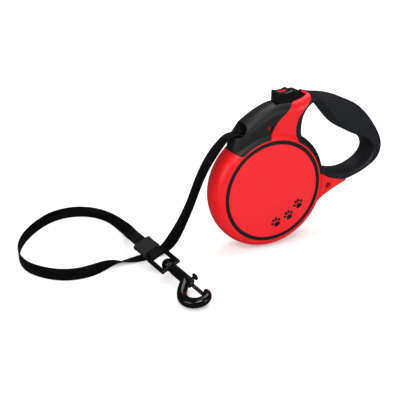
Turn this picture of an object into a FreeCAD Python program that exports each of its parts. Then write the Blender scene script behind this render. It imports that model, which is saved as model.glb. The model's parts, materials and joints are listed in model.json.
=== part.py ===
# Retractable leash: a round two-half case with a spring-wound tape reel, a loop
# handle, a brake button with its lock lever, and a tape that ends in a bolt snap.
#
# Frame: the origin is the centre of the reel axle on the parting plane. X points
# back to the handle, Y runs along the axle and Z points up. All sizes are millimetres.
import FreeCAD, Part
import math
import os

import Sketcher
from FreeCAD import Placement, Rotation, Vector

doc = FreeCAD.newDocument("RetractableLeash")
sizes = doc.addObject("Spreadsheet::Sheet", "Sizes")

DRIVING = {
    # case
    "caseRadius": 59.5,
    "faceHalf": 15.0,
    "puckRadius": 51.5,
    "flankRadius": 55.5,
    "flankHalf": 12.5,
    "armHalf": 12.3,
    "spineRound": 9.5,
    "seamGap": 0.1,
    "cavityRadius": 54.0,
    "cavityFlat": 49.0,
    "cavityHalf": 12.2,
    "cavityRimHalf": 9.4,
    "plateRadius": 46.4,
    "ringInner": 46.55,
    "ringOuter": 50.0,
    "inlayDepth": 1.4,
    "plateThick": 1.36,
    "ringThick": 1.5,
    # axle and reel
    "axleRadius": 3.5,
    "runningFit": 0.05,
    "bossRadius": 7.0,
    "bossHalf": 8.9,
    "reelRadius": 51.0,
    "toothRoot": 48.6,
    "toothCount": 30.0,
    "flangeInner": 6.9,
    "flangeOuter": 8.5,
    "hubInner": 27.0,
    "hubOuter": 30.0,
    "coilRadius": 48.0,
    "tapeWide": 12.0,
    "tapeThick": 1.0,
    "springWide": 10.0,
    "springInner": 6.6,
    "springOuter": 25.8,
    "springTurns": 7.0,
    "springStrip": 0.6,
    # mouth and roller
    "runAngle": 12.0,
    "rollerRadius": 2.4,
    "rollerBore": 1.05,
    "rollerHalf": 6.6,
    "rollerPinRadius": 1.0,
    "rollerPinHalf": 9.0,
    "rollerX": -27.0,
    # brake and lock
    "buttonHalf": 7.2,
    "buttonTop": 92.3,
    "leverHalf": 5.9,
    "lockPinRadius": 1.25,
    "lockPinHalf": 7.2,
    "lockX": 28.6,
    "lockZ": 81.4,
    # screws
    "screwHead": 2.7,
    "screwShank": 1.25,
    "recessRadius": 3.1,
    "screwHeadLong": 1.6,
    "crossWide": 0.7,
    "crossLong": 3.2,
    "crossDeep": 0.9,
    # sleeve and hook
    "sleeveWide": 19.0,
    "sleeveLong": 17.5,
    "sleeveThick": 6.0,
    "eyeWide": 20.3,
    "eyeLong": 23.0,
    "eyeBar": 3.2,
    "eyeSide": 3.9,
    "hookBarrel": 4.6,
    "boltRadius": 1.7,
}
for row, (name, value) in enumerate(DRIVING.items(), start=1):
    sizes.set("A%d" % row, name)
    sizes.set("B%d" % row, str(value))
    sizes.setAlias("B%d" % row, name)
doc.recompute()

Y_AXIS = Vector(0, 1, 0)
X_AXIS = Vector(1, 0, 0)
Z_AXIS = Vector(0, 0, 1)
CENTRE = Vector(0, 0, 0)
nodes = {}


def dim(name):
    return float(sizes.get(name))


def keep(label, obj):
    """Register a finished document object as one sub-part."""
    obj.Label = label
    nodes[label] = obj
    return obj


def feature(label, shape, placement=Placement()):
    """A sub-part whose form no single feature describes."""
    obj = doc.addObject("Part::Feature", label)
    obj.Shape = shape
    obj.Placement = placement
    return keep(label, obj)


# ---- parametric helpers -------------------------------------------------------
def origin_plane(body, role):
    return [item for item in body.Origin.OriginFeatures if item.Role == role][0]


def bound_sketch(body, name, role, corners):
    """A closed polygon sketch whose corner coordinates follow the sheet."""
    sketch = body.newObject("Sketcher::SketchObject", name)
    sketch.AttachmentSupport = [(origin_plane(body, role), "")]
    sketch.MapMode = "FlatFace"
    points = []
    for across, along in corners:
        points.append(Vector(evaluate(across), evaluate(along), 0))
    count = len(points)
    for index in range(count):
        sketch.addGeometry(Part.LineSegment(points[index], points[(index + 1) % count]), False)
    for index in range(count):
        sketch.addConstraint(Sketcher.Constraint("Coincident", index, 2, (index + 1) % count, 1))
    for index, (across, along) in enumerate(corners):
        for kind, text in (("DistanceX", across), ("DistanceY", along)):
            value = evaluate(text)
            spot = sketch.addConstraint(Sketcher.Constraint(kind, -1, 1, index, 1, value))
            if text.replace(".", "").replace("-", "").isdigit():
                continue
            sketch.setExpression("Constraints[%d]" % spot, bind(text))
    return sketch


def evaluate(text):
    """The value of a small sum or product of sheet names and numbers."""
    total = 0.0
    for term in text.replace("-", "+-").split("+"):
        if not term:
            continue
        sign = -1.0 if term.startswith("-") else 1.0
        product = sign
        for factor in term.lstrip("-").split("*"):
            product *= dim(factor) if factor in DRIVING else float(factor)
        total += product
    return total


def bind(text):
    """The same sum written with references to the sheet."""
    out = []
    for term in text.replace("-", "+-").split("+"):
        if not term:
            continue
        sign = "-" if term.startswith("-") else "+"
        factors = ["Sizes." + f if f in DRIVING else f for f in term.lstrip("-").split("*")]
        out.append(sign + " * ".join(factors))
    return " ".join(out).lstrip("+")


def turned(label, corners):
    """A body of revolution about the Y axis; corners are (radius, distance along Y)."""
    body = doc.addObject("PartDesign::Body", label)
    sketch = bound_sketch(body, label + "_profile", "XY_Plane", corners)
    turn = body.newObject("PartDesign::Revolution", label + "_turn")
    turn.Profile = sketch
    turn.ReferenceAxis = (sketch, ["V_Axis"])
    turn.Angle = 360
    sketch.Visibility = False
    return keep(label, body)


def ring_corners(inner, outer, near, far):
    return [(inner, near), (outer, near), (outer, far), (inner, far)]


# ---- plain shape helpers ------------------------------------------------------
def at(x, z, y=0.0):
    return Vector(x, y, z)


def smooth(points):
    """A smooth edge through (x, z) points; two points give a straight edge."""
    if len(points) == 2:
        return Part.makeLine(at(*points[0]), at(*points[1]))
    spline = Part.BSplineCurve()
    spline.interpolate([at(*point) for point in points])
    return spline.toShape()


def polar(radius, degrees):
    return (radius * math.cos(math.radians(degrees)), radius * math.sin(math.radians(degrees)))


def rim_arc(radius, start, end):
    """An arc about the axle between two angles, in degrees from +X towards +Z."""
    spots = [at(*polar(radius, angle)) for angle in (start, (start + end) / 2.0, end)]
    return Part.Arc(*spots).toShape()


def side_face(edges):
    return Part.Face(Part.Wire(Part.__sortEdges__(edges)))


def slab(face, near, far):
    """Extrude a face of the XZ plane from y = near to y = far."""
    start = face.copy()
    start.translate(Vector(0, near, 0))
    return start.extrude(Vector(0, far - near, 0))


def moved(shape, x, z):
    """A copy shifted in the XZ plane, which leaves a seam on the sides it moves towards."""
    copy = shape.copy()
    copy.translate(Vector(x, 0, z))
    return copy


def polygon(points):
    corners = [at(*point) for point in points]
    return Part.Face(Part.makePolygon(corners + corners[:1]))


def block(x0, x1, y0, y1, z0, z1):
    return Part.makeBox(x1 - x0, y1 - y0, z1 - z0, Vector(x0, y0, z0))


def rod(radius, y0, y1, x=0.0, z=0.0):
    return Part.makeCylinder(radius, y1 - y0, Vector(x, y0, z), Y_AXIS)


def spun(points):
    """A solid of revolution about the Y axis from (radius, y) points."""
    corners = [Vector(radius, y, 0) for radius, y in points]
    return Part.Face(Part.makePolygon(corners + corners[:1])).revolve(CENTRE, Y_AXIS, 360)


def centre_tangent(curve, spot):
    return curve.tangent(curve.parameter(spot))[0]


def rounded(solid, radius, wanted):
    """Fillet the edges that the test picks by their middle point."""
    edges = []
    for edge in solid.Edges:
        middle = edge.valueAt((edge.FirstParameter + edge.LastParameter) / 2.0)
        if wanted(middle):
            edges.append(edge)
    return solid.makeFillet(radius, edges)


def on_side(middle):
    return abs(abs(middle.y) - dim("armHalf")) < 0.01


# ---- outlines in the XZ plane -------------------------------------------------
FAR = 40.0  # a distance that is outside the case on both sides
GAP = dim("seamGap")
PUCK = dim("puckRadius")
LINER_TOP = (37.2, 88.2)
LINER_LINE = [LINER_TOP, (36.8, 84.0), (33.6, 79.6), (29.2, 74.5), (25.0, 69.2), (22.7, 63.3), (21.9, 56.7),
              (22.6, 50.8), polar(PUCK, 62)]
TAIL_TIP = (84.8, -3.2)
TAIL_LINE = [polar(PUCK, 10.5), (55.3, 7.7), (60.9, 4.3), (68.2, 1.3), (77.9, -1.0), TAIL_TIP]
SPINE_LINE = [(-41, 41.5), (-38.2, 52), (-33.2, 62.2), (-23, 70.7), (-13, 76.6), (-3, 80.9), (4, 82.6),
              (12, 83.0), (19, 83.0), (26, 84.1), (31, 86.1), LINER_TOP]
HANDLE_LINE = [TAIL_TIP, (94, -0.8), (103, 2.4), (110.6, 6.1), (117.1, 10.4), (121.8, 15.8), (124.0, 22),
               (124.1, 28.5), (121.5, 36.4), (114.8, 47.2), (101.7, 62.4), (89.9, 72.1), (79.6, 77.7),
               (69.6, 81.4), (58.2, 84.2), (47, 85.8), LINER_TOP]
OPENING_ARC = 56.4
OPENING_LINE = [polar(OPENING_ARC, 15.5), (60.6, 10.5), (70.4, 6.3), (82.1, 4.0), (92.7, 4.9), (102.3, 8.6),
                (110.5, 14.6), (114.4, 22), (112.6, 29.4), (105.3, 35.7), (98, 39.6), (88, 43.8),
                (78.9, 48.6), (66, 59.4), (55.8, 70.7), (50.1, 76.4), (45.3, 79.6), (41.1, 80.2),
                (36.5, 78.3), (31.9, 73.2), (29.4, 67.9), (28.2, 60), (28.3, 53.5), polar(OPENING_ARC, 56.7)]
NOSE_LINE = [(19.2, 83.0), (14.7, 77.7), (8.9, 72.5), (4, 68.2), (0.1, 63.2), (-3.1, 57.3), polar(PUCK, 96)]
CORNER_LINE = [polar(PUCK, 127.5), (-33.6, 39.7), (-36.0, 40.2), (-40.6, 42.3), (-52, 47.6)]

flank = Part.BSplineCurve()
flank.interpolate([Vector(PUCK, -dim("faceHalf"), 0), Vector(dim("flankRadius"), -dim("flankHalf"), 0),
                   Vector(58.5, -7, 0), Vector(dim("caseRadius"), 0, 0), Vector(58.5, 7, 0),
                   Vector(dim("flankRadius"), dim("flankHalf"), 0), Vector(PUCK, dim("faceHalf"), 0)])
disc_edges = [
    Part.makeLine(Vector(0, -dim("faceHalf"), 0), Vector(PUCK, -dim("faceHalf"), 0)),
    flank.toShape(),
    Part.makeLine(Vector(PUCK, dim("faceHalf"), 0), Vector(0, dim("faceHalf"), 0)),
    Part.makeLine(Vector(0, dim("faceHalf"), 0), Vector(0, -dim("faceHalf"), 0)),
]
disc = Part.Face(Part.Wire(disc_edges)).revolve(CENTRE, Y_AXIS, 360)

half = dim("armHalf")
arm_face = side_face([
    smooth(SPINE_LINE),
    smooth(LINER_LINE),
    smooth([polar(PUCK, 62), (10, 20)]),
    smooth([(10, 20), (-20, 20)]),
    smooth([(-20, 20), (-41, 41.5)]),
])
arm = rounded(slab(arm_face, -half, half), dim("spineRound"),
              lambda spot: on_side(spot) and spot.z > 65 and spot.x < 10)

tail_face = side_face([
    smooth(TAIL_LINE),
    smooth([TAIL_TIP, (83.4, -5.2)]),
    smooth([(83.4, -5.2), (72.7, -9.6), (61.5, -15.2), (50, -24)]),
    smooth([(50, -24), (35, -8)]),
    smooth([(35, -8), polar(PUCK, 10.5)]),
])
tail = rounded(slab(tail_face, -half, half), 3.0, lambda spot: on_side(spot) and spot.z < -9 and spot.x > 54)

grip_face = side_face([
    smooth(LINER_LINE),
    rim_arc(PUCK, 62, 10.5),
    smooth(TAIL_LINE),
    smooth(HANDLE_LINE),
])
opening_face = side_face([rim_arc(OPENING_ARC, 15.5, 56.7), smooth(OPENING_LINE)])
grip_loop = slab(grip_face, -half, half).cut(slab(opening_face, -half - 1, half + 1))
grip_loop = rounded(grip_loop, 3.4, lambda spot: on_side(spot) and spot.x > 90 and spot.z > 45)
grip_loop = rounded(grip_loop, 2.0, lambda spot: on_side(spot) and
                    opening_face.distToShape(Part.Vertex(spot.x, 0, spot.z))[0] < 0.1)

# ---- regions that split the skin into coloured pieces ---------------------------
nose_face = side_face([
    smooth([(19.2, 100), (19.2, 83.0)]),
    smooth(NOSE_LINE),
    rim_arc(PUCK, 96, 127.5),
    smooth(CORNER_LINE),
    smooth([(-52, 47.6), (-52, 100)]),
    smooth([(-52, 100), (19.2, 100)]),
])
nose_region = slab(nose_face, -FAR, FAR)
nose_room = moved(nose_region, GAP, -GAP)
grip_region = slab(grip_face, -FAR, FAR)
grip_room = moved(grip_region, -GAP, -GAP)

# ---- spaces inside the case ------------------------------------------------------
run = math.radians(dim("runAngle"))
run_lift = dim("coilRadius") + 0.2 + dim("tapeThick") / 2.0
run_start = Vector(run_lift * math.sin(run), 0, run_lift * math.cos(run))
run_along = Vector(-math.cos(run), 0, math.sin(run))
run_up = Vector(math.sin(run), 0, math.cos(run))


def on_run(along, up):
    spot = run_start + run_along * along + run_up * up
    return (spot.x, spot.z)


def run_slab(along0, along1, up0, up1, half_width):
    corners = [on_run(along0, up0), on_run(along1, up0), on_run(along1, up1), on_run(along0, up1)]
    return slab(polygon(corners), -half_width, half_width)


cavity_half, rim_half = dim("cavityHalf"), dim("cavityRimHalf")
cavity = spun([(0, -cavity_half), (dim("cavityFlat"), -cavity_half), (dim("cavityRadius"), -rim_half),
               (dim("cavityRadius"), rim_half), (dim("cavityFlat"), cavity_half), (0, cavity_half)])
for side in (-1, 1):
    near, far = sorted((side * dim("bossHalf"), side * FAR))
    cavity = cavity.cut(rod(dim("bossRadius"), near, far))
axle_bore = rod(dim("axleRadius") + dim("runningFit"), -10.6, 10.6)
arm_room = slab(polygon([(-16, 61), (-8, 70.5), (1.5, 76.5), (22, 76.5), (20.5, 70), (18.2, 62), (18, 56.5),
                         (-8, 56.5)]), -9.0, 9.0)
nose_boss = rod(4.6, -20, 20, -5.1, 61.4)
arm_room = arm_room.cut(nose_boss)
tape_way = run_slab(-9, 42, -3.4, 3.4, 7.0)
pawl_way = block(8.6, 15.4, 6.3, 9.2, 48, 60)
button_way = block(2.0, 19.9, -dim("buttonHalf") - 0.3, dim("buttonHalf") + 0.3, 76, 100)
lever_way = block(20.3, 34.4, -dim("leverHalf") - 0.3, dim("leverHalf") + 0.3, 78.0, 100)
pin_end = dim("lockPinHalf") + 0.1
lock_pin_bore = rod(dim("lockPinRadius") + 0.02, -pin_end, pin_end, dim("lockX"), dim("lockZ"))

def mouth_ring(along, up, half_high, half_wide):
    """A rounded rectangle across the tape's exit line; four of them make the flared mouth."""
    corner = min(half_high, half_wide) * 0.75
    frame = Placement(at(*on_run(along, up)), Rotation(Y_AXIS, run_up, run_along))
    points = []
    for start in (0, 90, 180, 270):
        for step in (0, 22.5, 45, 67.5, 90):
            angle = math.radians(start + step)
            side = 1.0 if start in (0, 270) else -1.0
            level = 1.0 if start in (0, 90) else -1.0
            points.append(Vector(side * (half_wide - corner) + corner * math.cos(angle),
                                 level * (half_high - corner) + corner * math.sin(angle), 0))
    curve = Part.BSplineCurve()
    curve.interpolate(points, PeriodicFlag=True)
    ring = Part.Wire(curve.toShape())
    ring.Placement = frame
    return ring


mouth_rings = [(31, 0.4, 2.8, 7.4), (36, 2.4, 4.4, 8.8), (41, 4.2, 6.2, 10.4), (49, 7.4, 10.4, 13.5)]
mouth = Part.makeLoft([mouth_ring(*ring) for ring in mouth_rings], True, False)


def guide_slab(grow):
    """The guide's block; grow enlarges it on every side, to cut its seat."""
    back, low, high, front = 30.0 - grow, -7.4 - grow, 4.8 + grow, 45.5 + grow
    corners = [on_run(back, low), on_run(back, high), on_run(40.5 + grow, high), on_run(front, -0.5 + grow),
               on_run(front, -3.0 - grow), on_run(41.0 + grow, low)]
    return slab(polygon(corners), -9.2 - grow, 9.2 + grow)


guide_room = guide_slab(0.1)
roller_x = dim("rollerX")
roller_t = (run_start.x - roller_x) / math.cos(run)
roller_drop = dim("rollerRadius") + dim("tapeThick") / 2.0 + 0.1
roller_spot = run_start + run_along * roller_t - run_up * roller_drop

screw_spots = [(-5.1, 61.4), (63.0, -5.1)]


def screw_ways():
    """Recesses and holes for the two case screws, entered from the -Y side."""
    cuts = []
    for x, z in screw_spots:
        cuts.append(rod(dim("recessRadius"), -20, -7.0, x, z))
        cuts.append(rod(dim("screwShank") + 0.15, -8, 9.0, x, z))
    cuts.append(rod(dim("screwHead") + 0.2, -16, -11.7))
    cuts.append(rod(dim("screwHead") + 0.2, 11.7, 16))
    cuts.append(rod(dim("screwShank") + 0.1, -12.2, 12.2))
    return cuts


face_cuts = []
for side in (-1, 1):
    outer = side * dim("faceHalf")
    near, far = sorted((outer - side * dim("inlayDepth"), outer + side))
    face_cuts.append(rod(dim("ringOuter") + 0.08, near, far))

front_half = block(-200, 200, -40, -0.04, -200, 200)
rear_half = block(-200, 200, 0.04, 40, -200, 200)

red_body = disc.fuse([arm, tail]).cut([nose_room, grip_room])
nose_body = disc.fuse(arm).common(nose_region)
finger_room = slab(opening_face, -FAR, FAR).cut(rod(57.6, -FAR - 1, FAR + 1))
grip_body = disc.common(grip_region).cut(finger_room).fuse(grip_loop)
inside = [cavity, axle_bore, arm_room, tape_way, pawl_way, button_way, lever_way, lock_pin_bore, mouth,
          guide_room] + screw_ways() + face_cuts
for name, body in (("shell", red_body), ("nose", nose_body), ("grip", grip_body)):
    hollow = body.cut(inside)
    feature("front_" + name, hollow.common(front_half))
    feature("rear_" + name, hollow.common(rear_half))

# ---- face plates, rings and screws -------------------------------------------------
for side, word in ((-1, "front"), (1, "rear")):
    floor = "%sfaceHalf%sinlayDepth" % (("-", "+") if side < 0 else ("", "-"))
    lift = "+" if side > 0 else "-"
    plate_top = floor + lift + "plateThick"
    ring_top = floor + lift + "ringThick"
    turned(word + "_face_plate", ring_corners("0", "plateRadius", floor, plate_top))
    turned(word + "_face_ring", ring_corners("ringInner", "ringOuter", floor, ring_top))


def screw(x, z, head, shank_end, side):
    """A cross-head screw along Y; side is -1 when the head faces -Y."""
    top = head + side * dim("screwHeadLong")
    body = rod(dim("screwHead"), min(head, top), max(head, top), x, z)
    body = body.fuse(rod(dim("screwShank"), min(head, shank_end), max(head, shank_end), x, z))
    near, far = sorted((top, top - side * dim("crossDeep")))
    for wide, high in ((dim("crossLong"), dim("crossWide")), (dim("crossWide"), dim("crossLong"))):
        body = body.cut(block(x - wide / 2, x + wide / 2, near, far, z - high / 2, z + high / 2))
    return body


caps = [rod(dim("recessRadius") - 0.06, -9.4, -8.8, x, z) for x, z in screw_spots]
feature("screw_caps", Part.makeCompound(caps))
feature("case_screws", Part.makeCompound([screw(x, z, -7.05, 8.6, -1) for x, z in screw_spots]))
feature("axle_screws", Part.makeCompound([screw(0, 0, side * 11.75, side * 5.0, side) for side in (-1, 1)]))

# ---- axle, reel, wound tape and spring ---------------------------------------------
turned("reel_axle", [("screwShank+0.05", "-10.4"), ("axleRadius", "-10.4"), ("axleRadius", "-6.6"),
                     ("6", "-6.6"), ("6", "6.6"), ("axleRadius", "6.6"), ("axleRadius", "10.4"),
                     ("screwShank+0.05", "10.4")])
drum = turned("reel_drum", [("axleRadius+runningFit", "flangeInner"), ("hubInner", "flangeInner"),
                            ("hubInner", "-flangeInner"), ("hubOuter", "-flangeInner"),
                            ("hubOuter", "flangeInner"), ("toothRoot", "flangeInner"),
                            ("toothRoot", "flangeOuter"), ("axleRadius+runningFit", "flangeOuter")])
TOOTH_START = 79.15
tooth_corners = []
tooth_spots = [("toothRoot-0.4", 0.0), ("reelRadius", 4.2), ("reelRadius", 6.0), ("toothRoot-0.4", 6.0)]
for radius, turn in tooth_spots:
    angle = math.radians(TOOTH_START + turn)
    name, less = (radius.split("-") + ["0"])[:2]
    across, along = math.cos(angle), math.sin(angle)
    tooth_corners.append(("%s*%.5f-%.5f" % (name, across, float(less) * across),
                          "%s*%.5f-%.5f" % (name, along, float(less) * along)))
tooth_sketch = bound_sketch(drum, "tooth_profile", "XZ_Plane", tooth_corners)
tooth_sketch.AttachmentOffset = Placement(Vector(0, 0, -dim("flangeOuter")), Rotation())
tooth = drum.newObject("PartDesign::Pad", "tooth")
tooth.Profile = tooth_sketch
tooth.Length = dim("flangeOuter") - dim("flangeInner")
tooth.setExpression("Length", "Sizes.flangeOuter - Sizes.flangeInner")
teeth = drum.newObject("PartDesign::PolarPattern", "teeth")
teeth.Originals = [tooth]
teeth.Axis = (tooth_sketch, ["N_Axis"])
teeth.Angle = 360
teeth.Occurrences = int(dim("toothCount"))
drum.Tip = teeth

plate = turned("reel_side_plate", ring_corners("axleRadius+runningFit", "reelRadius", "-flangeOuter",
                                               "-flangeInner-0.05"))
window_sketch = plate.newObject("Sketcher::SketchObject", "window_profile")
window_sketch.AttachmentSupport = [(origin_plane(plate, "XZ_Plane"), "")]
window_sketch.MapMode = "FlatFace"
window_sketch.AttachmentOffset = Placement(Vector(0, 0, 10), Rotation())
window_sketch.addGeometry(Part.Circle(Vector(39.5, 0, 0), Z_AXIS, 5.0), False)
doc.recompute()
window = plate.newObject("PartDesign::Pocket", "window")
window.Profile = window_sketch
window.Length = 6.0
windows = plate.newObject("PartDesign::PolarPattern", "windows")
windows.Originals = [window]
windows.Axis = (window_sketch, ["N_Axis"])
windows.Angle = 360
windows.Occurrences = 8
plate.Tip = windows

turned("wound_tape", ring_corners("hubOuter+0.05", "coilRadius", "-tapeWide*0.5-0.2", "tapeWide*0.5+0.2"))


def spiral_edge(shift, turns, first, last, samples):
    points = []
    for step in range(samples + 1):
        share = step / float(samples)
        points.append(polar(first + (last - first) * share + shift, 360.0 * turns * share))
    return points


strip = dim("springStrip") / 2.0
inner_spiral = spiral_edge(-strip, dim("springTurns"), dim("springInner"), dim("springOuter"), 84)
outer_spiral = spiral_edge(strip, dim("springTurns"), dim("springInner"), dim("springOuter"), 84)
spring_face = side_face([smooth(inner_spiral), smooth([inner_spiral[-1], outer_spiral[-1]]),
                         smooth(outer_spiral), smooth([outer_spiral[0], inner_spiral[0]])])
feature("power_spring", slab(spring_face, -dim("springWide") / 2.0, dim("springWide") / 2.0))

# ---- mouth guide and roller ----------------------------------------------------------
guide = guide_slab(0).cut([
    run_slab(28, 48, -2.2, 2.2, 6.9), mouth,
    rod(dim("rollerRadius") + 0.5, -6.9, 6.9, roller_spot.x, roller_spot.z),
    run_slab(roller_t - 2.9, roller_t + 2.9, -3.0, 0, 6.9),
    rod(dim("rollerPinRadius") + 0.02, -10, 10, roller_spot.x, roller_spot.z),
])
feature("mouth_guide", guide.common(disc.fuse(arm)))
roller = turned("guide_roller", ring_corners("rollerBore", "rollerRadius", "-rollerHalf", "rollerHalf"))
roller.Placement = Placement(roller_spot, Rotation())


def pin(label, radius_name, half_name, x, z):
    """A plain pin along Y, centred on the parting plane."""
    obj = doc.addObject("Part::Cylinder", label)
    obj.setExpression("Radius", "Sizes." + radius_name)
    obj.setExpression("Height", "2 * Sizes." + half_name)
    obj.Placement = Placement(Vector(x, -dim(half_name), z), Rotation(X_AXIS, -90))
    return keep(label, obj)


pin("roller_pin", "rollerPinRadius", "rollerPinHalf", roller_spot.x, roller_spot.z)
pin("lock_pin", "lockPinRadius", "lockPinHalf", dim("lockX"), dim("lockZ"))

# ---- brake button, pawl, spring and lock lever ------------------------------------------
button_half = dim("buttonHalf")
top = dim("buttonTop")
BUTTON_FRONT = 2.6
button_face = side_face([
    smooth([(19.4, 76.4), (BUTTON_FRONT, 76.4)]),
    smooth([(BUTTON_FRONT, 76.4), (BUTTON_FRONT, top - 5)]),
    smooth([(BUTTON_FRONT, top - 5), (3.3, top - 2.4), (5.4, top - 0.8)]),
    smooth([(5.4, top - 0.8), (12.4, top - 1.2), (18.6, top + 0.5)]),
    smooth([(18.6, top + 0.5), (19.4, top - 0.6)]),
    smooth([(19.4, top - 0.6), (19.4, 76.4)]),
])
button = rounded(slab(button_face, -button_half, button_half), 0.7,
                 lambda spot: abs(abs(spot.y) - button_half) < 0.01 and spot.z > top - 3)
# the front of the button is curved in plan
bow = button_half + 1
plan_corners = [at(6.4, 60, bow), at(30, 60, bow), at(30, 60, -bow), at(6.4, 60, -bow)]
front_curve = Part.Arc(plan_corners[0], at(BUTTON_FRONT, 60), plan_corners[-1]).toShape()
plan = Part.Face(Part.Wire([front_curve] + Part.makePolygon(plan_corners).Edges))
button = button.common(plan.extrude(Vector(0, 0, 60)))
button = button.fuse([block(4.6, 18.4, -5.8, 5.8, 70.5, 77), block(4.4, 17.6, -8.6, 8.6, 74.4, 76.4)])


def mark_layer(grow, depth):
    """The skin of the button's top inside an oval outline."""
    oval = Part.Ellipse(Vector(11.4, 0, 60), 4.8 + grow, 3.4 + grow).toShape()
    column = Part.Face(Part.Wire(oval)).extrude(Vector(0, 0, 60))
    lower = button.copy()
    lower.translate(Vector(0, 0, -depth))
    return button.common(column).cut(lower)


mark = mark_layer(0.0, 0.6)
feature("button_mark", mark)
feature("brake_button", button.cut(mark_layer(0.06, 0.66)))
pawl_face = polygon([(9.6, 74.3), (14.4, 74.3), (14.4, 58), (13.2, 53.8), (10.8, 53.8), (9.6, 58)])
feature("brake_pawl", slab(pawl_face, 7.0, 8.3))


def coil_spring(radius, wire, length, turns):
    """A helical spring along Z; its wire's centre line starts at the origin's level."""
    spine = Part.makeLongHelix((length - wire) / turns, length - wire, radius)
    ring = Part.Wire(Part.makeCircle(wire / 2.0, Vector(radius, 0, 0), Y_AXIS))
    return Part.Wire(spine.Edges).makePipeShell([ring], True, True)


feature("brake_spring", coil_spring(2.6, 0.7, 13.6, 6.0), Placement(Vector(7.6, 0, 57.05), Rotation()))
pin_x, pin_z = dim("lockX"), dim("lockZ")
lever_face = side_face([
    smooth([(20.8, 82.6), (20.9, 89.4)]),
    smooth([(20.9, 89.4), (21.7, 91.0), (23.4, 91.6), (26.4, 91.4), (29.0, 90.1), (31.2, 88.3)]),
    smooth([(31.2, 88.3), (32.6, 86.4), (32.4, 84.2), (30.9, 81.2), (pin_x, pin_z - 2.6),
            (25.6, pin_z - 1.6)]),
    smooth([(25.6, pin_z - 1.6), (20.8, 82.6)]),
])
lever_half = dim("leverHalf")
lever = slab(lever_face, -lever_half, lever_half)
feature("lock_lever", lever.cut(rod(dim("lockPinRadius") + dim("runningFit"), -20, 20, pin_x, pin_z)))

# ---- tape outside the case -----------------------------------------------------------------
hook_frame = Placement(Vector(-115.3, -8.4, -44.0), Rotation(-76.5, 5.0, 18.7))


def hook_point(along, across, up):
    return hook_frame.multVec(Vector(along, across, up))


hook_width = hook_frame.Rotation.multVec(Y_AXIS)
before_sleeve = [hook_point(-dim("sleeveLong") - beyond, 0, 0) for beyond in (24.0, 16.0, 8.1)]
FLAT = (0, 1, 0)
EDGE = (0, 0, -1)
straight = [run_start + run_along * step for step in (0.6, 10, 20, 30, 38, 43)]
stations = [(spot.x, spot.y, spot.z, FLAT) for spot in straight]
stations += [
    (-37.4, 0, 56.9, FLAT), (-42.5, 0, 55.2, (-0.04, 1, 0.03)), (-48.3, 0, 50.3, (-0.1, 0.98, 0.08)),
    (-56.2, 0, 41, (-0.18, 0.96, 0.15)), (-64.2, 0.3, 28.5, (-0.18, 0.96, 0.12)),
    (-71, 0.6, 14, (-0.17, 0.96, 0.1)), (-76.8, 1.5, -2, (-0.17, 0.96, 0.08)),
    (-82, 3.4, -16, (-0.2, 0.95, 0.1)), (-87, 7, -30, (-0.3, 0.93, 0.2)), (-92, 12, -43, (-0.35, 0.9, 0.3)),
    (-98, 17, -53, (-0.15, 0.95, 0.15)), (-106, 19, -58, FLAT), (-117, 17.5, -58.9, FLAT),
    (-129, 16.5, -58.8, (0, 0.98, -0.12)), (-140, 15.6, -57.9, (0, 0.9, -0.42)),
    (-149, 13.0, -56.2, (0, 0.62, -0.78)), (-158, 9.4, -54.2, (0, 0.25, -0.97)),
    (-170, 5.6, -53.4, EDGE), (-184, 4.6, -53.4, EDGE), (-199, 9.2, -53.4, EDGE), (-213, 20.5, -53.4, EDGE),
    (-223, 35, -53.4, EDGE), (-227, 53, -53.4, EDGE), (-224.5, 74, -53.4, EDGE), (-215, 95, -53.4, EDGE),
    (-200, 114, -53.4, EDGE), (-182, 127.5, -53.4, EDGE), (-162, 131.0, -53.4, EDGE),
    (-143, 123, -53.4, EDGE),
    (-129.5, 105, -53.2, (-0.15, 0, -1)), (-123.5, 83, -52.2, (-0.42, -0.08, -0.9)),
    (-121.0, 62, -50.0, (-0.75, -0.14, -0.6)),
] + [(spot.x, spot.y, spot.z, tuple(hook_width * -1)) for spot in before_sleeve]
centre_line = Part.BSplineCurve()
centre_line.interpolate([Vector(*station[:3]) for station in stations])
sections = []
for station in stations:
    spot = Vector(*station[:3])
    forward = Vector(*centre_tangent(centre_line, spot))
    wide = Vector(*station[3])
    wide = (wide - forward * wide.dot(forward)).normalize() * (dim("tapeWide") / 2.0)
    thick = forward.cross(wide).normalize() * (dim("tapeThick") / 2.0)
    corners = [spot + wide + thick, spot - wide + thick, spot - wide - thick, spot + wide - thick]
    sections.append(Part.makePolygon(corners + corners[:1]))
feature("leash_tape", Part.makeLoft(sections, True, False))


def lengthwise(edge):
    return abs(edge.tangentAt(edge.FirstParameter).x) > 0.9


sleeve_start = -7.5 - dim("sleeveLong")
sleeve = block(sleeve_start, -7.5, -dim("sleeveWide") / 2, dim("sleeveWide") / 2,
               -dim("sleeveThick") / 2, dim("sleeveThick") / 2)
sleeve = sleeve.makeFillet(1.8, [edge for edge in sleeve.Edges if lengthwise(edge)])
sleeve = sleeve.makeFillet(0.6, [edge for edge in sleeve.Edges if not lengthwise(edge)])


def placed(label, shape):
    return feature(label, shape, hook_frame)


def tube(radius, start, end, across=0.0, up=0.0):
    """A round bar along the hook's length."""
    return Part.makeCylinder(radius, end - start, Vector(start, across, up), X_AXIS)


placed("tape_sleeve", sleeve)
eye_bar = dim("eyeBar")
bar_radius = eye_bar / 2.0
wide_half = dim("tapeWide") / 2.0
inner_bend = bar_radius + 0.12
outer_bend = inner_bend + dim("tapeThick")


def bend(radius):
    shape = Part.makeCylinder(radius, 2 * wide_half, Vector(0, -wide_half, 0), Y_AXIS)
    return shape.fuse(block(-7.4, 0, -wide_half, wide_half, -radius, radius))


loop_room = bend(inner_bend).fuse(block(-9, -1, -9, 9, -inner_bend, inner_bend))
placed("tape_loop", bend(outer_bend).cut(loop_room))

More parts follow.
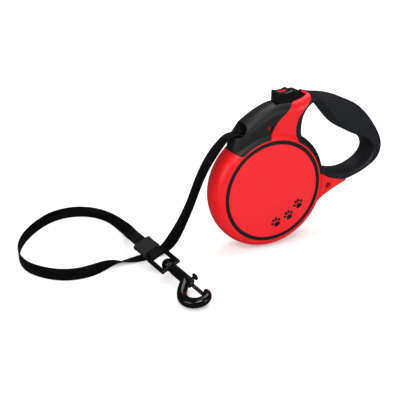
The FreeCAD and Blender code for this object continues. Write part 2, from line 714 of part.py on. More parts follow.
# ---- swivel eye, stud, hook and bolt ---------------------------------------------------------
eye_half = dim("eyeWide") / 2.0
eye_end = dim("eyeLong")
side_bar = block(-bar_radius, eye_end, eye_half - dim("eyeSide"), eye_half, -bar_radius, bar_radius)
side_bar = side_bar.makeFillet(0.9, side_bar.Edges)
other_bar = side_bar.mirror(CENTRE, Y_AXIS)
lower_bar = block(eye_end - 4.2, eye_end, -eye_half, eye_half, -bar_radius, bar_radius)
lower_bar = lower_bar.makeFillet(0.9, lower_bar.Edges)
top_bar = Part.makeCylinder(bar_radius, 2 * eye_half - 2, Vector(0, -eye_half + 1, 0), Y_AXIS)
eye = side_bar.fuse([other_bar, lower_bar, top_bar, tube(4.0, eye_end - 4.3, eye_end + 0.2)])
placed("swivel_eye", eye.cut(tube(2.05, eye_end - 10, eye_end + 2)))

dome_flat = eye_end - 4.6
dome = Part.makeSphere(5.9, Vector(dome_flat, 0, 0)).common(block(dome_flat - 7, dome_flat, -7, 7, -7, 7))
placed("swivel_stud", dome.fuse(tube(2.0, eye_end - 5, eye_end + 5)))

barrel_start = eye_end + 0.4
barrel_end = 51.0
facet_start = barrel_start + 3.0
facets = []
for step in range(8):
    across, up = polar(dim("hookBarrel"), 45 * step + 22.5)
    facets.append(Vector(facet_start, across, up))
barrel = Part.Face(Part.makePolygon(facets + facets[:1])).extrude(Vector(barrel_end - facet_start, 0, 0))
barrel = barrel.fuse([tube(4.3, barrel_start, barrel_start + 2.2),
                      tube(3.5, barrel_start + 2.0, facet_start + 1)])
# the claw's centre line and radius: (along, across, radius)
claw = [(43.5, -0.6, 4.3), (48.5, -5.4, 4.3), (53.5, -11.2, 4.3), (60.5, -14.6, 4.4), (68.2, -12.8, 4.4),
        (73.6, -6.6, 4.3), (73.8, -0.4, 3.9), (71.0, 2.6, 3.2), (67.6, 2.4, 2.6)]
claw_line = Part.BSplineCurve()
claw_line.interpolate([Vector(along, across, 0) for along, across, radius in claw])
rings = []
for along, across, radius in claw:
    spot = Vector(along, across, 0)
    forward = Vector(*centre_tangent(claw_line, spot))
    rings.append(Part.Wire(Part.makeCircle(radius, spot, forward)))
hook = barrel.fuse(Part.makeLoft(rings, True, False))
slot_room = block(39.3, 50.0, 0, 8, -1.3, 1.3)
stud_bore = tube(2.03, 10, eye_end + 5.1)
bolt_bore = tube(dim("boltRadius") + 0.06, 29.5, 69.0)
placed("snap_hook", hook.cut([stud_bore, bolt_bore, slot_room]))
bolt = tube(dim("boltRadius"), 36.8, 68.4).fuse(block(46.8, 49.4, 0, 6.6, -1.1, 1.1))
knob = block(45.5, 50.7, 6.0, 8.8, -2.6, 2.6)
knob = knob.makeFillet(0.8, knob.Edges)
# the spring sits in a bore in the bolt's back end
placed("hook_bolt", bolt.fuse(knob).cut(tube(1.15, 36, 47.6)))
spring_turn = Placement(Vector(29.8, 0, 0), Rotation(Y_AXIS, 90))
feature("bolt_spring", coil_spring(0.8, 0.4, 10.0, 7.0), hook_frame.multiply(spring_turn))

# ---- checks and files --------------------------------------------------------------------------
doc.recompute()
for obj in doc.Objects:
    for state in obj.State:
        if state in ("Invalid", "Error"):
            raise RuntimeError("%s did not build" % obj.Label)
for label, obj in nodes.items():
    if obj.Shape.isNull() or not obj.Shape.isValid():
        raise RuntimeError("%s has no valid shape" % label)
    print("%-16s %2d solids %10.1f mm3" % (label, len(obj.Shape.Solids), obj.Shape.Volume))

os.makedirs("parts", exist_ok=True)
for label, obj in nodes.items():
    obj.Shape.exportStep("parts/" + label + ".step")
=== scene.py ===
"""Looks of the retractable leash: webbing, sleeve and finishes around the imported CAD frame."""
import json
import math

import bmesh
import bpy
import numpy as np
from mathutils import Matrix, Vector


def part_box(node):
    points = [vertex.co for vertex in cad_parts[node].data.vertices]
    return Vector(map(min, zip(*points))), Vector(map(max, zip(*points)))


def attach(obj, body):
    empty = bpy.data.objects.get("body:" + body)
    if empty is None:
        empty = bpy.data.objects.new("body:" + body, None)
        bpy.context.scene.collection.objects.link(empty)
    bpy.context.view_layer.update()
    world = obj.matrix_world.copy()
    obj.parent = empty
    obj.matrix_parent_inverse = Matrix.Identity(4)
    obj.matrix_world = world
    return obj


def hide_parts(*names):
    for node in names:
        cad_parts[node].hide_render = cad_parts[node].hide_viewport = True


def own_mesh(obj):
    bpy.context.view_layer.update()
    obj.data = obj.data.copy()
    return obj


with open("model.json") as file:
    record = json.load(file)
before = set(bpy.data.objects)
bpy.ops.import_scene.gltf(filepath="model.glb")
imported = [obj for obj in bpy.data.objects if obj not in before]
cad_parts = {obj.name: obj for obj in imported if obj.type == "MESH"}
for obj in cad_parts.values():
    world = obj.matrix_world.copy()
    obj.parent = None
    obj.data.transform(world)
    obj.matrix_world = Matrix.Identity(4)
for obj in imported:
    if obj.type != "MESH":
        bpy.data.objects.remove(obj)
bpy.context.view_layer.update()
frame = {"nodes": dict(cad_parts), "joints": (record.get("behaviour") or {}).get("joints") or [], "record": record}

nodes = frame["nodes"]
MM = 0.001


# ---- node material helpers --------------------------------------------------
class Paint:
    """A node material with a Principled surface and a few wiring shortcuts."""

    def __init__(self, name):
        self.material = bpy.data.materials.new(name)
        self.material.use_nodes = True
        self.tree = self.material.node_tree
        self.surface = self.tree.nodes["Principled BSDF"]
        self.coords = self.tree.nodes.new("ShaderNodeTexCoord")

    def add(self, kind, settings=None, **inputs):
        node = self.tree.nodes.new("ShaderNode" + kind)
        for key, value in (settings or {}).items():
            setattr(node, key, value)
        for key, value in inputs.items():
            self.feed(node, key, value)
        return node

    def feed(self, node, key, value):
        """Set or wire an input: by name, with _ for each space, or by index, as i0, i1 and so on."""
        numbered = key[0] == "i" and key[1:].isdigit()
        socket = node.inputs[int(key[1:]) if numbered else key.replace("_", " ")]
        if isinstance(value, bpy.types.NodeSocket):
            self.tree.links.new(value, socket)
        else:
            socket.default_value = value

    def math(self, operation, first, second=0.0, third=0.0):
        node = self.add("Math", {"operation": operation}, i0=first, i1=second, i2=third)
        return node.outputs[0]

    def noise(self, scale, detail=3.0, rough=0.5, vector=None):
        node = self.add("TexNoise", Scale=scale, Detail=detail, Roughness=rough,
                        Vector=vector or self.coords.outputs["Object"])
        return node.outputs["Fac"]

    def ramp(self, value, low, high, out_low=0.0, out_high=1.0):
        """Carry the range low to high over to out_low to out_high, held level outside it."""
        node = self.add("MapRange", Value=value, From_Min=low, From_Max=high,
                        To_Min=out_low, To_Max=out_high)
        return node.outputs["Result"]

    def tint(self, amount, first, second):
        """Mix two plain RGB colours."""
        node = self.add("Mix", {"data_type": "RGBA"}, i0=amount, i6=(*first, 1.0), i7=(*second, 1.0))
        return node.outputs[2]

    def blend(self, amount, first, second):
        """Mix two colours that are sockets or RGBA values."""
        node = self.add("Mix", {"data_type": "RGBA"}, i0=amount, i6=first, i7=second)
        return node.outputs[2]

    def bump(self, height, depth, strength=1.0, normal=None):
        node = self.add("Bump", Height=height, Distance=depth, Strength=strength)
        if normal is not None:
            self.feed(node, "Normal", normal)
        return node.outputs["Normal"]

    def soft_edges(self, radius):
        return self.add("Bevel", {"samples": 4}, Radius=radius).outputs["Normal"]

    def finish(self, **inputs):
        for key, value in inputs.items():
            self.feed(self.surface, key, value)
        return self.material


def shade(colour, factor):
    return tuple(channel * factor for channel in colour)


def moulded(name, colour, rough, grain, depth, coat=0.0, edge=0.5 * MM, lift=1.25):
    """Injection-moulded plastic: sparked grain, faint flow mottling and rubbed edges."""
    paint = Paint(name)
    mottle = paint.ramp(paint.noise(38, 4, 0.6), 0.35, 0.65)
    body = paint.tint(mottle, shade(colour, 0.985), shade(colour, 1.015))
    worn = paint.ramp(paint.add("NewGeometry").outputs["Pointiness"], 0.53, 0.60)
    patchy = paint.math("MULTIPLY", worn, paint.ramp(paint.noise(160, 5), 0.4, 0.7))
    rubbed = (*shade(colour, lift), 1.0)
    body = paint.blend(paint.math("MULTIPLY", patchy, 0.35), body, rubbed)
    fine = paint.noise(grain, 2, 0.6)
    smear = paint.ramp(paint.noise(60, 5, 0.7), 0.3, 0.7, rough - 0.03, rough + 0.03)
    normal = paint.bump(fine, depth, 0.6, paint.soft_edges(edge))
    return paint.finish(Base_Color=body, Roughness=smear, Normal=normal, Coat_Weight=coat,
                        Coat_Roughness=0.18, Specular_IOR_Level=0.35)


def metal(name, colour, rough, brushed=False):
    paint = Paint(name)
    vector = paint.coords.outputs["Object"]
    if brushed:
        vector = paint.add("Mapping", Vector=vector, Scale=(60, 900, 900)).outputs[0]
    scale = 4.0 if brushed else 320.0
    streak = paint.add("TexNoise", Vector=vector, Scale=scale, Detail=4.0).outputs["Fac"]
    body = paint.tint(paint.ramp(streak, 0.3, 0.7), shade(colour, 0.82), shade(colour, 1.1))
    normal = paint.bump(streak, 0.02 * MM, 0.4, paint.soft_edges(0.25 * MM))
    return paint.finish(Base_Color=body, Metallic=1.0, Normal=normal,
                        Roughness=paint.ramp(streak, 0.3, 0.7, rough - 0.06, rough + 0.08))


def enamel(name, colour):
    """Gloss black coating on cast metal: orange peel, with a thin worn line on the edges."""
    paint = Paint(name)
    peel = paint.noise(900, 2, 0.4)
    worn = paint.ramp(paint.add("NewGeometry").outputs["Pointiness"], 0.56, 0.66)
    chips = paint.math("MULTIPLY", worn, paint.ramp(paint.noise(700, 6, 0.7), 0.52, 0.60))
    body = paint.tint(paint.math("MULTIPLY", chips, 0.6), colour, (0.22, 0.22, 0.23))
    rough = paint.ramp(paint.noise(90, 4), 0.3, 0.7, 0.12, 0.22)
    normal = paint.bump(peel, 0.03 * MM, 0.35, paint.soft_edges(0.35 * MM))
    return paint.finish(Base_Color=body, Roughness=rough, Normal=normal, Coat_Weight=0.35,
                        Coat_Roughness=0.08, Specular_IOR_Level=0.25)


RIB_PITCH = 1.1 * MM
YARN_PITCH = 0.75 * MM


def webbing_paint(name):
    """Woven nylon tape, coloured lighter and bluish on the weave's crests as painted sheen and darker in its
    hollows as painted shade. UV is in metres: u along the tape, v across it.
    """
    paint = Paint(name)
    split = paint.add("SeparateXYZ", Vector=paint.coords.outputs["UV"])
    along, across = split.outputs["X"], split.outputs["Y"]
    slant = paint.math("MULTIPLY", paint.math("ABSOLUTE", across), 0.8)
    rib_turn = paint.math("MULTIPLY", paint.math("ADD", along, slant), 2 * math.pi / RIB_PITCH)
    ribs = paint.math("SINE", rib_turn)
    yarns = paint.math("SINE", paint.math("MULTIPLY", across, 2 * math.pi / YARN_PITCH))
    weave = paint.math("ADD", paint.math("MULTIPLY", ribs, 0.6), paint.math("MULTIPLY", yarns, 0.4))
    fuzz = paint.noise(5200, 3, 0.7)
    height = paint.math("ADD", weave, paint.math("MULTIPLY", fuzz, 0.7))
    # Painted sheen: the weave's crests get a lighter bluish colour, and random patches make this painted sheen
    # weaker or stronger.
    sheen_patches = paint.ramp(paint.noise(70, 4, 0.6), 0.3, 0.7)
    light = paint.math("MULTIPLY", paint.ramp(weave, -0.4, 1.0), paint.ramp(sheen_patches, 0, 1, 0.6, 1.0))
    body = paint.tint(light, (0.0003, 0.0003, 0.0005), (0.0016, 0.0017, 0.0030))
    normal = paint.bump(height, 0.16 * MM, 0.8)
    return paint.finish(Base_Color=body, Roughness=0.38, Normal=normal, Specular_IOR_Level=0.18)


def rubber_paint(name, colour):
    paint = Paint(name)
    cloud = paint.ramp(paint.noise(210, 5, 0.65), 0.3, 0.7)
    body = paint.tint(cloud, shade(colour, 0.85), shade(colour, 1.2))
    height = paint.math("ADD", paint.noise(2600, 3, 0.6), paint.math("MULTIPLY", paint.noise(500, 2), 0.6))
    return paint.finish(Base_Color=body, Roughness=0.78, Normal=paint.bump(height, 0.08 * MM, 0.7),
                        Specular_IOR_Level=0.22)


PALM_BACK = (52 * MM, 60 * MM)  # the palm panel's front end fades in over this stretch of X
PALM_UP = (28 * MM, 36 * MM)  # and its lower end over this stretch of Z


def grip_paint(name, colour):
    """Grip moulding: plain grain on the rim and a pebbled panel on the flat sides of the palm part; the flat sides
    are also coloured a lighter bluish grey as painted sheen.
    """
    paint = Paint(name)
    split = paint.add("SeparateXYZ", Vector=paint.coords.outputs["Object"])
    facing = paint.add("SeparateXYZ", Vector=paint.add("NewGeometry").outputs["Normal"])
    side = paint.ramp(paint.math("ABSOLUTE", facing.outputs["Y"]), 0.75, 0.95)
    palm = paint.math("MULTIPLY", paint.ramp(split.outputs["X"], *PALM_BACK),
                      paint.ramp(split.outputs["Z"], *PALM_UP))
    panel = paint.math("MULTIPLY", side, palm)
    pebble = paint.add("TexVoronoi", {"feature": "SMOOTH_F1"}, Scale=620.0, Randomness=1.0,
                       Vector=paint.coords.outputs["Object"]).outputs["Distance"]
    grain = paint.noise(2400, 2, 0.6)
    height = paint.math("ADD", paint.math("MULTIPLY", grain, 0.25),
                        paint.math("MULTIPLY", paint.math("MULTIPLY", pebble, panel), 2.2))
    mottle = paint.ramp(paint.noise(420, 4, 0.7), 0.3, 0.7)
    body = paint.tint(mottle, shade(colour, 0.9), shade(colour, 1.12))
    # Painted sheen: surfaces that face along Y are coloured a lighter bluish grey.
    side_sheen = paint.tint(mottle, (0.0075, 0.0085, 0.012), (0.011, 0.0125, 0.017))
    body = paint.blend(side, body, side_sheen)
    normal = paint.bump(height, 0.22 * MM, 0.7, paint.soft_edges(0.8 * MM))
    return paint.finish(Base_Color=body, Roughness=0.42, Normal=normal, Specular_IOR_Level=0.38)


RED = (0.74, 0.003, 0.008)
FACE_RED = (0.80, 0.006, 0.014)
INK = (0.0095, 0.0098, 0.0112)
finishes = {
    "red_shell": moulded("red_shell_plastic", RED, 0.38, 2600, 0.03 * MM, coat=0.12),
    "face_red": moulded("face_plate_plastic", FACE_RED, 0.42, 3200, 0.02 * MM, coat=0.15),
    "black_shell": moulded("black_shell_plastic", INK, 0.46, 2300, 0.05 * MM, lift=2.2),
    "ring_grey": moulded("ring_plastic", (0.0075, 0.0085, 0.010), 0.5, 2600, 0.04 * MM, lift=1.8),
    "button_black": moulded("button_plastic", (0.0012, 0.0013, 0.0018), 0.14, 1500, 0.006 * MM, coat=1.0,
                            edge=0.9 * MM, lift=2.5),
    # The screw caps are red plastic, coloured much darker than the shell as painted shade for their deep recesses.
    "cap_red": moulded("screw_cap_shaded_plastic", (0.30, 0.004, 0.006), 0.5, 2600, 0.03 * MM),
    "mark_red": moulded("mark_plastic", (0.48, 0.010, 0.018), 0.25, 1500, 0.01 * MM, coat=0.5),
    "reel_plastic": moulded("reel_plastic", (0.62, 0.61, 0.56), 0.45, 1800, 0.03 * MM),
    "grip_rubber": grip_paint("grip_plastic", (0.0100, 0.0104, 0.0125)),
    "steel": metal("turned_steel", (0.56, 0.56, 0.58), 0.28, brushed=True),
    "spring_steel": metal("spring_steel", (0.32, 0.34, 0.38), 0.34, brushed=True),
    "black_metal": enamel("black_enamel", (0.0016, 0.0016, 0.0020)),
    "webbing": webbing_paint("woven_webbing"),
    "sleeve_rubber": rubber_paint("sleeve_rubber", (0.0125, 0.0118, 0.0120)),
}
thread_paint = rubber_paint("stitch_thread", (0.008, 0.008, 0.009))
for entry in frame["record"]["subparts"]:
    mesh = nodes[entry["node"]].data
    mesh.materials.clear()
    mesh.materials.append(finishes[entry["material_slot"]])


# ---- mesh helpers ----------------------------------------------------------------
def spline(points, samples):
    """Natural cubic spline through points, sampled evenly along its chord length."""
    points = np.array(points, float)
    chord = np.linalg.norm(np.diff(points[:, :3], axis=0), axis=1)
    knots = np.concatenate(([0.0], np.cumsum(chord)))
    count = len(points)
    system = np.eye(count)
    right = np.zeros_like(points)
    for i in range(1, count - 1):
        before, after = chord[i - 1], chord[i]
        system[i, i - 1:i + 2] = before, 2 * (before + after), after
        right[i] = 6 * ((points[i + 1] - points[i]) / after - (points[i] - points[i - 1]) / before)
    bend = np.linalg.solve(system, right)
    spots = np.linspace(0, knots[-1], samples)
    found = np.clip(np.searchsorted(knots, spots, side="right") - 1, 0, count - 2)
    out = []
    for spot, i in zip(spots, found):
        step = chord[i]
        left, ahead = spot - knots[i], knots[i + 1] - spot
        out.append(bend[i] * ahead ** 3 / (6 * step) + bend[i + 1] * left ** 3 / (6 * step)
                   + (points[i] / step - bend[i] * step / 6) * ahead
                   + (points[i + 1] / step - bend[i + 1] * step / 6) * left)
    return np.array(out)


def skin(build, rings):
    """Join rings of points into a closed skin with an end cap at each end."""
    for lower, upper in zip(rings, rings[1:]):
        count = len(lower)
        for spoke in range(count):
            other = (spoke + 1) % count
            build.faces.new((lower[spoke], lower[other], upper[other], upper[spoke]))
    build.faces.new(rings[0])
    build.faces.new(rings[-1][::-1])


def meshed(name, build):
    """Turn the built faces into a mesh whose normals point outwards."""
    bmesh.ops.recalc_face_normals(build, faces=build.faces)
    mesh = bpy.data.meshes.new(name)
    build.to_mesh(mesh)
    build.free()
    return mesh


def spoke_angles(count):
    return [2 * math.pi * spoke / count for spoke in range(count)]


def new_object(name, mesh, body, material):
    obj = bpy.data.objects.new(name, mesh)
    bpy.context.scene.collection.objects.link(obj)
    mesh.materials.append(material)
    for face in mesh.polygons:
        face.use_smooth = True
    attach(obj, body)
    return obj


def strap_section(width, thick):
    """Closed outline of woven tape: flat, with a slightly thicker selvedge on each edge."""
    half = width / 2
    upper = []
    for across in np.linspace(1, -1, 13):
        edge = abs(across)
        level = thick * (0.44 + 0.06 * math.exp(-((edge - 0.88) / 0.07) ** 2))
        if edge > 0.97:
            level = thick * 0.22
        upper.append((across * half, level))
    return upper + [(across, -level) for across, level in reversed(upper)]


def strap(name, centres, widths, width, thick, body):
    """Woven tape along sampled centres; widths are the directions across the tape."""
    outline = strap_section(width, thick)
    build = bmesh.new()
    layer = build.loops.layers.uv.new("UVMap")
    tangents = np.gradient(centres, axis=0)
    steps = np.linalg.norm(np.diff(centres, axis=0), axis=1)
    lengths = np.concatenate(([0.0], np.cumsum(steps)))
    rows = []
    for centre, tangent, wide in zip(centres, tangents, widths):
        forward = tangent / np.linalg.norm(tangent)
        wide = wide - forward * wide.dot(forward)
        wide = wide / np.linalg.norm(wide)
        thick_way = np.cross(forward, wide)
        row = []
        for across, level in outline:
            row.append(build.verts.new(centre + wide * across + thick_way * level))
        rows.append(row)
    count = len(outline)
    for row in range(len(rows) - 1):
        for i in range(count):
            j = (i + 1) % count
            spots = ((row, i), (row, j), (row + 1, j), (row + 1, i))
            face = build.faces.new([rows[at_row][at_point] for at_row, at_point in spots])
            for loop, (at_row, at_point) in zip(face.loops, spots):
                loop[layer].uv = (lengths[at_row], outline[at_point][0])
    build.faces.new(rows[0])
    build.faces.new(rows[-1][::-1])
    return new_object(name, meshed(name, build), body, finishes["webbing"])


# ---- the tape outside the case ------------------------------------------------------
TAPE_WIDE = 12.0 * MM
TAPE_THICK = 1.0 * MM
joints = {joint["name"]: joint for joint in frame["joints"]}
hook_spot = Vector(joints["eye_pivot"]["pos_m"])
hook_along = Vector(joints["hook_swivel"]["axis"])
hook_width = Vector(joints["eye_pivot"]["axis"])
hook_up = hook_along.cross(hook_width)
hook_frame = Matrix.Translation(hook_spot) @ Matrix((hook_along, hook_width, hook_up)).transposed().to_4x4()
SLEEVE_START, SLEEVE_END = -25.0, -7.5  # along the hook's line, from the eye
RUN_LIFT = 48.7  # from the axle to the middle of the tape as it leaves the coil
run_along = np.array(joints["leash_pull"]["axis"])
run_start = np.array((run_along[2], 0, -run_along[0])) * RUN_LIFT


def before_hook(distance):
    """A spot on the hook's own line, in millimetres, that far up the leash from the eye."""
    return hook_frame @ Vector((-distance * MM, 0, 0)) / MM


FLAT, EDGE = (0, 1, 0), (0, 0, -1)
# Each station is a spot on the tape's middle line and the direction across the tape there.
stations = [(*(run_start + run_along * step), *FLAT) for step in (0.6, 10, 20, 30, 38, 43)]
stations += [
    (-37.4, 0, 56.9, *FLAT), (-42.5, 0, 55.2, -0.04, 1, 0.03), (-48.3, 0, 50.3, -0.1, 0.98, 0.08),
    (-56.2, 0, 41, -0.18, 0.96, 0.15), (-64.2, 0.3, 28.5, -0.18, 0.96, 0.12),
    (-71, 0.6, 14, -0.17, 0.96, 0.1), (-76.8, 1.5, -2, -0.17, 0.96, 0.08),
    (-82, 3.4, -16, -0.2, 0.95, 0.1), (-87, 7, -30, -0.3, 0.93, 0.2), (-92, 12, -43, -0.35, 0.9, 0.3),
    (-98, 17, -53, -0.15, 0.95, 0.15), (-106, 19, -58, *FLAT), (-117, 17.5, -58.9, *FLAT),
    (-129, 16.5, -58.8, 0, 0.98, -0.12), (-140, 15.6, -57.9, 0, 0.9, -0.42),
    (-149, 13.0, -56.2, 0, 0.62, -0.78), (-158, 9.4, -54.2, 0, 0.25, -0.97), (-170, 5.6, -53.4, *EDGE),
    (-184, 4.6, -53.4, *EDGE), (-199, 9.2, -53.4, *EDGE), (-213, 20.5, -53.4, *EDGE),
    (-223, 35, -53.4, *EDGE), (-227, 53, -53.4, *EDGE), (-224.5, 74, -53.4, *EDGE),
    (-215, 95, -53.4, *EDGE), (-200, 114, -53.4, *EDGE), (-182, 127.5, -53.4, *EDGE),
    (-162, 131.0, -53.4, *EDGE), (-143, 123, -53.4, *EDGE), (-129.5, 105, -53.2, -0.15, 0, -1),
    (-123.5, 83, -52.2, -0.42, -0.08, -0.9), (-121, 62, -50, -0.75, -0.14, -0.6),
]
stations += [(*before_hook(distance), *-hook_width) for distance in (41.5, 33.5, 24.0)]
path = spline(stations, 640)
leash = strap("leash_webbing", path[:, :3] * MM, path[:, 3:], TAPE_WIDE, TAPE_THICK, "leash")
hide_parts("leash_tape")

# ---- the tape wound on the reel ---------------------------------------------------------
COIL_TURNS, COIL_INNER, COIL_OUTER = 17, 30.65, 47.4
COIL_THICK = 0.95 * MM
COIL_SAMPLES = 60  # in each turn
angles = np.linspace(0, 2 * math.pi * COIL_TURNS, COIL_SAMPLES * COIL_TURNS)
radii = COIL_INNER + (COIL_OUTER - COIL_INNER) * angles / angles[-1]
coil = np.stack([radii * np.cos(angles), np.zeros_like(angles), radii * np.sin(angles)], axis=1) * MM
coil_widths = np.tile((0.0, 1.0, 0.0), (len(coil), 1))
coil_web = strap("coil_webbing", coil, coil_widths, TAPE_WIDE, COIL_THICK, "reel")
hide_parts("wound_tape")

# ---- the loop round the eye, its stitches and the sleeve ----------------------------------
BAR_RADIUS = 1.6
LOOP_FIT = 0.12  # clearance between the eye's bar and the tape
LOOP_START = -7.4  # the loop's end, along the hook's line from the eye
LOOP_SAMPLES, LOOP_STEP = 20, 0.37  # along each straight part
BEND_SAMPLES = 24
bend_radius = BAR_RADIUS + LOOP_FIT + TAPE_THICK / MM / 2
loop_points = [(LOOP_START + LOOP_STEP * i, 0, bend_radius) for i in range(LOOP_SAMPLES)]
for step in range(1, BEND_SAMPLES):
    turn = math.pi * (0.5 - step / BEND_SAMPLES)
    loop_points.append((bend_radius * math.cos(turn), 0, bend_radius * math.sin(turn)))
loop_points += [(-LOOP_STEP * i, 0, -bend_radius) for i in range(LOOP_SAMPLES + 1)]
centres = np.array([hook_frame @ (Vector(point) * MM) for point in loop_points])
loop_widths = np.tile(np.array(hook_width), (len(centres), 1))
loop = strap("loop_webbing", centres, loop_widths, TAPE_WIDE, TAPE_THICK, "leash")
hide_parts("tape_loop")

SLEEVE_HALF, SLEEVE_LEVEL = 9.3, 2.85  # half width and half thickness
ACROSS_POWER, LEVEL_POWER = 0.30, 0.42  # they square off the sleeve's oval section


def sleeve_mesh(name):
    """Heat-formed rubber sleeve: a flattened tube with rolled ends and slightly hollow flanks."""
    build = bmesh.new()
    around, along = 56, 30
    rows = []
    for step in range(along + 1):
        share = step / along
        place = SLEEVE_START + (SLEEVE_END - SLEEVE_START) * share
        end = min(share, 1 - share) * (SLEEVE_END - SLEEVE_START)
        swell = 1.0 - 0.10 * math.exp(-(end / 0.55) ** 2) + 0.035 * math.exp(-((end - 1.4) / 0.7) ** 2)
        waist = 1.0 - 0.035 * math.sin(math.pi * share)
        ring = []
        for turn in spoke_angles(around):
            cosine, sine = math.cos(turn), math.sin(turn)
            across = math.copysign(abs(cosine) ** ACROSS_POWER, cosine) * SLEEVE_HALF * swell * waist
            level = math.copysign(abs(sine) ** LEVEL_POWER, sine) * SLEEVE_LEVEL * swell
            ring.append(build.verts.new(hook_frame @ (Vector((place, across, level)) * MM)))
        rows.append(ring)
    skin(build, rows)
    return meshed(name, build)


sleeve_form = sleeve_mesh("rubber_sleeve")
sleeve = new_object("rubber_sleeve", sleeve_form, "leash", finishes["sleeve_rubber"])
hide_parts("tape_sleeve")

THREAD_RADIUS = 0.22
STITCH_STEPS = 6


def stitch_mesh(name, places):
    """Short raised thread stitches, each a thin bent capsule lying on the tape."""
    build = bmesh.new()
    for start, end in places:
        a, b = Vector(start), Vector(end)
        way = (b - a).normalized()
        rise = Vector((0, 0, math.copysign(1.0, a.z)))
        side = way.cross(rise)
        rings = []
        for step in range(STITCH_STEPS + 1):
            share = step / STITCH_STEPS
            middle = a.lerp(b, share) + rise * THREAD_RADIUS * math.sin(math.pi * share)
            fullness = math.sin(math.pi * min(max(share, 0.08), 0.92))
            size = THREAD_RADIUS * (0.35 + 0.65 * fullness)
            ring = []
            for turn in spoke_angles(8):
                offset = side * math.cos(turn) * size + rise * math.sin(turn) * size
                ring.append(build.verts.new(hook_frame @ ((middle + offset) * MM)))
            rings.append(ring)
        skin(build, rings)
    return meshed(name, build)


STITCH_COUNT, STITCH_PITCH, STITCH_LONG = 7, 1.5, 1.1
STITCH_ROWS = (-6.2, -3.4)  # along the hook's line, from the eye
STITCH_FIRST = -5.2  # where a row starts across the tape
STITCH_SINK = 0.06
places = []
for level in (-1, 1):
    height = level * (bend_radius + TAPE_THICK / MM / 2 - STITCH_SINK)
    for place in STITCH_ROWS:
        for step in range(STITCH_COUNT):
            across = STITCH_FIRST + step * STITCH_PITCH
            places.append(((place, across, height), (place, across + STITCH_LONG, height)))
stitch_form = stitch_mesh("loop_stitches", places)
new_object("loop_stitches", stitch_form, "leash", thread_paint)

# ---- the brake button's return spring, which shortens as the button goes down -------------
SPRING_WIRE = 0.7
SPRING_TURNS = 6


def coil_mesh(name, foot, radius, wire, length, turns):
    """A helical wire that stands on foot; all sizes are in millimetres."""
    build = bmesh.new()
    rings = []
    steps = 24 * turns
    for step in range(steps + 1):
        turn = 2 * math.pi * turns * step / steps
        outward = Vector((math.cos(turn), math.sin(turn), 0))
        level = wire / 2 + (length - wire) * step / steps
        middle = foot + outward * radius + Vector((0, 0, level))
        ring = []
        for angle in spoke_angles(8):
            offset = outward * math.cos(angle) + Vector((0, 0, math.sin(angle)))
            ring.append(build.verts.new((middle + offset * wire / 2) * MM))
        rings.append(ring)
    skin(build, rings)
    return meshed(name, build)


spring_low, spring_high = [Vector(corner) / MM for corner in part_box("brake_spring")]
spring_foot = (spring_low + spring_high) / 2
spring_foot.z = spring_low.z
spring_long = spring_high.z - spring_low.z
spring_radius = (spring_high.y - spring_low.y - SPRING_WIRE) / 2
coil_form = coil_mesh("return_spring", spring_foot, spring_radius, SPRING_WIRE, spring_long, SPRING_TURNS)
spring = new_object("return_spring", coil_form, "case", finishes["spring_steel"])
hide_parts("brake_spring")
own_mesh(spring)

# ---- a generic row of paw prints on the front disc --------------------------------------
# Rings of a printed pad: the share of its outline, and how far the ring stands proud.
PAD_PROFILE = ((1.0, -0.03), (0.94, 0.08), (0.80, 0.12))


def pad_mesh(build, centre, size, turn, lobes, face_level):
    """One printed pad: a thin lens standing proud; lobes gives the heel pad its three corners."""
    rings = []
    for share, rise in PAD_PROFILE:
        ring = []
        for angle in spoke_angles(28):
            reach = share * (1.0 - lobes * math.sin(3 * angle))
            local = Vector((size[0] * reach * math.cos(angle), size[1] * reach * math.sin(angle)))
            local.rotate(Matrix.Rotation(turn, 2))
            spot = Vector((centre[0] + local.x, face_level - rise, centre[1] + local.y))
            ring.append(build.verts.new(spot * MM))
        rings.append(ring)
    skin(build, rings)


# A heel pad and four toes: across, up, half width, half height, turn in degrees, lobes
PADS = [(0, -1.4, 2.3, 1.9, 0, 0.12), (-2.9, 0.7, 0.95, 1.3, 25, 0), (-1.1, 2.5, 1.0, 1.45, 8, 0),
        (1.1, 2.5, 1.0, 1.45, -8, 0), (2.9, 0.7, 0.95, 1.3, -25, 0)]
PRINT_RADIUS = 33.0
PRINT_SIZE = 1.4
PRINT_TILT = math.radians(28)


def paw_prints(name, spots, face_level):
    build = bmesh.new()
    spin = Matrix.Rotation(PRINT_TILT, 2)
    for spot in spots:
        for x, z, wide, high, turn, lobes in PADS:
            place = Vector(spot) + spin @ Vector((x, z)) * PRINT_SIZE
            size = (wide * PRINT_SIZE, high * PRINT_SIZE)
            pad_mesh(build, place, size, PRINT_TILT + math.radians(turn), lobes, face_level)
    return meshed(name, build)


print_spots = []
for turn in (-82, -57, -32):
    angle = math.radians(turn)
    print_spots.append((PRINT_RADIUS * math.cos(angle), PRINT_RADIUS * math.sin(angle)))
plate_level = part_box("front_face_plate")[0][1] / MM
print_form = paw_prints("paw_prints", print_spots, plate_level)
new_object("paw_prints", print_form, "case", finishes["ring_grey"])

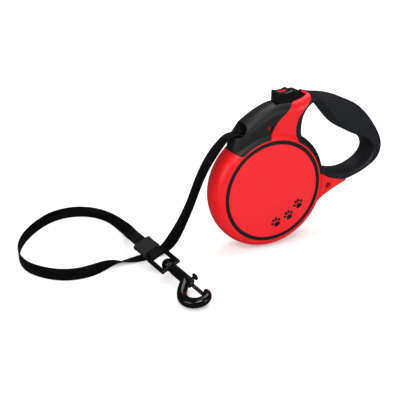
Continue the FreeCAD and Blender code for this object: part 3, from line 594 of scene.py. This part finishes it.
# ---- floor, light and camera ----------------------------------------------------------------
FLOOR_LEVEL = -59.5 * MM
FLOOR_SIZE = 6.0
build = bmesh.new()
bmesh.ops.create_grid(build, x_segments=2, y_segments=2, size=FLOOR_SIZE)
floor = bpy.data.objects.new("floor", meshed("floor", build))
floor.location = (0, 0, FLOOR_LEVEL)
bpy.context.scene.collection.objects.link(floor)
floor_paint = Paint("floor_paint")
floor_seen = floor_paint.add("LightPath").outputs["Is Camera Ray"]
floor_place = floor_paint.coords.outputs["Object"]
floor_spot = floor_paint.add("VectorMath", {"operation": "LENGTH"}, Vector=floor_place)
floor_lift = floor_paint.ramp(floor_spot.outputs["Value"], 0.2, 1.2, 0.30, 0.75)
floor_glow = floor_paint.math("MULTIPLY", floor_seen, floor_lift)
floor_mirrored = floor_paint.add("LightPath").outputs["Is Glossy Ray"]
floor_tone = floor_paint.ramp(floor_mirrored, 0.0, 1.0, 0.86, 0.07)
floor_paint.finish(Base_Color=floor_tone, Roughness=0.9, Specular_IOR_Level=0.0,
                   Emission_Color=(1, 1, 1, 1), Emission_Strength=floor_glow)
floor.data.materials.append(floor_paint.material)

WORLD_DIFFUSE, WORLD_GLOSSY = 0.55, 0.06


def studio_world():
    """White seen by the camera, soft grey light on matt surfaces and a dim room in reflections."""
    world = bpy.data.worlds.new("studio")
    world.use_nodes = True
    tree = world.node_tree
    back = tree.nodes["Background"]
    path_kind = tree.nodes.new("ShaderNodeLightPath")
    levels = tree.nodes.new("ShaderNodeMix")
    levels.inputs[2].default_value = WORLD_DIFFUSE
    levels.inputs[3].default_value = WORLD_GLOSSY
    tree.links.new(path_kind.outputs["Is Glossy Ray"], levels.inputs[0])
    seen = tree.nodes.new("ShaderNodeMix")
    seen.inputs[3].default_value = 1.0
    tree.links.new(path_kind.outputs["Is Camera Ray"], seen.inputs[0])
    tree.links.new(levels.outputs[0], seen.inputs[2])
    tree.links.new(seen.outputs[0], back.inputs["Strength"])
    back.inputs["Color"].default_value = (1, 1, 1, 1)
    bpy.context.scene.world = world


studio_world()


def softbox(name, place, target, size, power):
    light = bpy.data.lights.new(name, "AREA")
    light.shape = "RECTANGLE"
    light.size, light.size_y = size
    light.energy = power
    obj = bpy.data.objects.new(name, light)
    obj.location = place
    obj.rotation_euler = (Vector(target) - Vector(place)).to_track_quat("-Z", "Y").to_euler()
    bpy.context.scene.collection.objects.link(obj)


# Each softbox: place, the spot it faces, its size in metres and its power in watts.
softbox("key", (-0.45, -0.65, 0.85), (-0.02, 0, 0), (0.45, 0.45), 5)
softbox("top", (0.15, 0.15, 1.0), (-0.05, 0, 0), (0.8, 0.6), 6)
softbox("front", (0.35, -1.1, 0.25), (0, 0, 0), (0.5, 0.4), 2.5)
softbox("left", (-0.95, -0.25, 0.35), (-0.02, 0, 0), (0.5, 0.5), 1.8)

azimuth, elevation = math.radians(-24.14), math.radians(24.63)
TARGET = Vector((-75.45, -15.04, 5.92)) * MM
DISTANCE = 539.5 * MM
SENSOR_WIDTH, LENS = 36.0, 54.999
level_back = Vector((math.sin(azimuth), -math.cos(azimuth), 0))
back = level_back * math.cos(elevation) + Vector((0, 0, math.sin(elevation)))
camera = bpy.data.cameras.new("camera")
camera.sensor_width = SENSOR_WIDTH
camera.lens = LENS
view = bpy.data.objects.new("camera", camera)
view.location = TARGET + back * DISTANCE
view.rotation_euler = (math.pi / 2 - elevation, 0, azimuth)
bpy.context.scene.collection.objects.link(view)
bpy.context.scene.camera = view
bpy.context.scene.view_settings.view_transform = "Standard"
